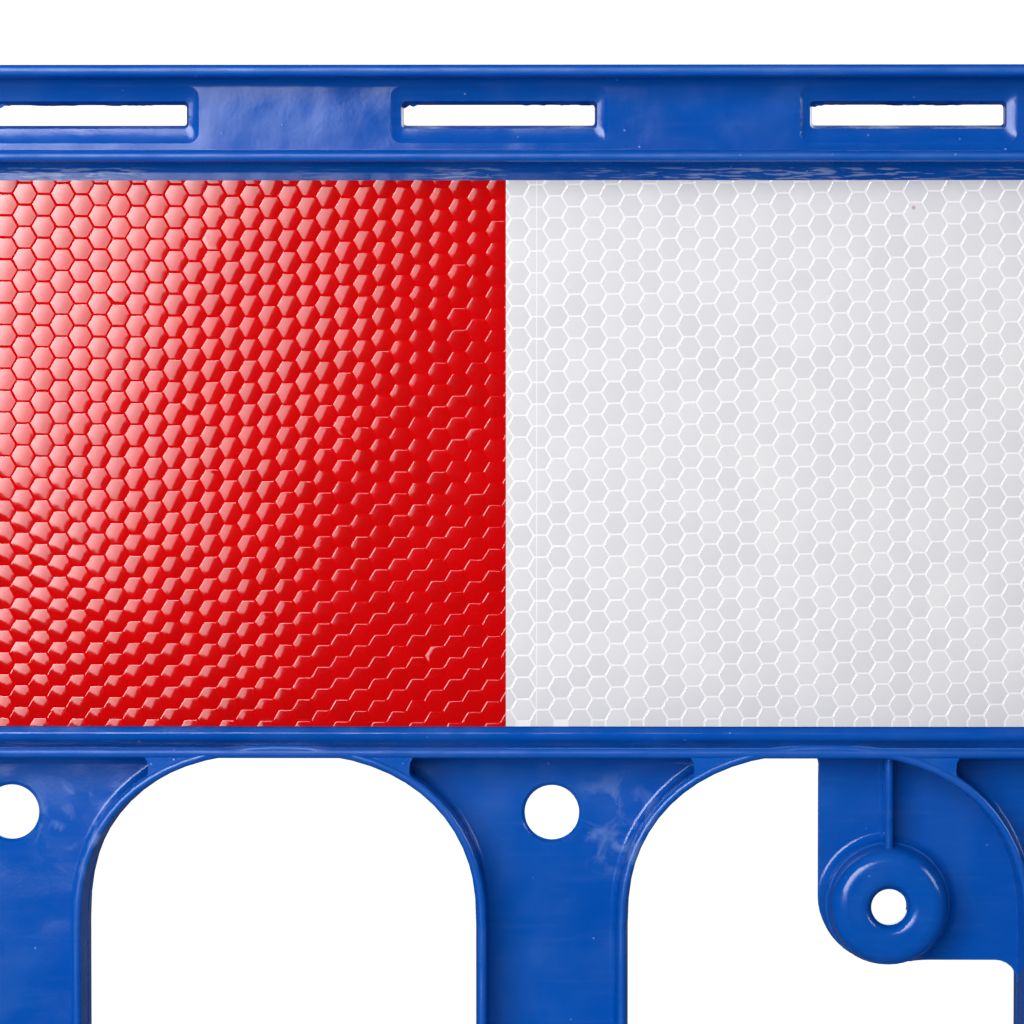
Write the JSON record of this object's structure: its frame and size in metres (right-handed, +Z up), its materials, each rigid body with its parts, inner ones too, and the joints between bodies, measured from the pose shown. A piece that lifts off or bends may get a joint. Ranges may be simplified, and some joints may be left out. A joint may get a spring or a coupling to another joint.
{
  "type": "pedestrian barricade",
  "caption": "Moulded plastic pedestrian barricade: slotted top rail, red and white reflective board, arched lattice openings, end hooks and eyes, and swivelling rubber feet.",
  "frame": {"origin": "on the ground, midway between the ends and midway through the panel's thickness", "axes": "+X along the barricade towards the end with the eyes, -Y towards the front, +Z up"},
  "size_m": [2, 0.56, 1],
  "materials": {
    "moulding": "semi-gloss injection-moulded polyethylene, blue",
    "red_sheeting": "glossy honeycomb reflective sheeting, red",
    "white_sheeting": "glossy honeycomb reflective sheeting, white",
    "rubber": "matt recycled rubber, black",
    "zinc": "bright zinc plated steel",
    "nylon": "natural nylon"
  },
  "bodies": {
    "panel": {"panel_moulding": "moulding", "front_red_sheet_01": "red_sheeting", "front_white_sheet_02": "white_sheeting", "front_red_sheet_03": "red_sheeting", "front_white_sheet_04": "white_sheeting", "front_red_sheet_05": "red_sheeting", "front_white_sheet_06": "white_sheeting", "front_red_sheet_07": "red_sheeting", "front_white_sheet_08": "white_sheeting", "front_red_sheet_09": "red_sheeting", "front_white_sheet_10": "white_sheeting", "front_red_sheet_11": "red_sheeting", "front_white_sheet_12": "white_sheeting", "back_red_sheet_01": "red_sheeting", "back_white_sheet_02": "white_sheeting", "back_red_sheet_03": "red_sheeting", "back_white_sheet_04": "white_sheeting", "back_red_sheet_05": "red_sheeting", "back_white_sheet_06": "white_sheeting", "back_red_sheet_07": "red_sheeting", "back_white_sheet_08": "white_sheeting", "back_red_sheet_09": "red_sheeting", "back_white_sheet_10": "white_sheeting", "back_red_sheet_11": "red_sheeting", "back_white_sheet_12": "white_sheeting", "left_pivot_bolt": "zinc", "left_head_washer": "zinc", "left_nut_washer": "zinc", "left_lock_nut": "zinc", "left_thrust_washer": "nylon", "right_pivot_bolt": "zinc", "right_head_washer": "zinc", "right_nut_washer": "zinc", "right_lock_nut": "zinc", "right_thrust_washer": "nylon"},
    "left_foot_body": {"left_foot": "rubber"},
    "right_foot_body": {"right_foot": "rubber"}
  },
  "joints": [
    {"name": "left_foot_swivel", "type": "hinge", "parent": "panel", "child": "left_foot_body", "pos_m": [-0.596, 0, 0.03], "axis": [0, 0, 1], "continuous": true},
    {"name": "right_foot_swivel", "type": "hinge", "parent": "panel", "child": "right_foot_body", "pos_m": [0.596, 0, 0.03], "axis": [0, 0, 1], "continuous": true}
  ]
}
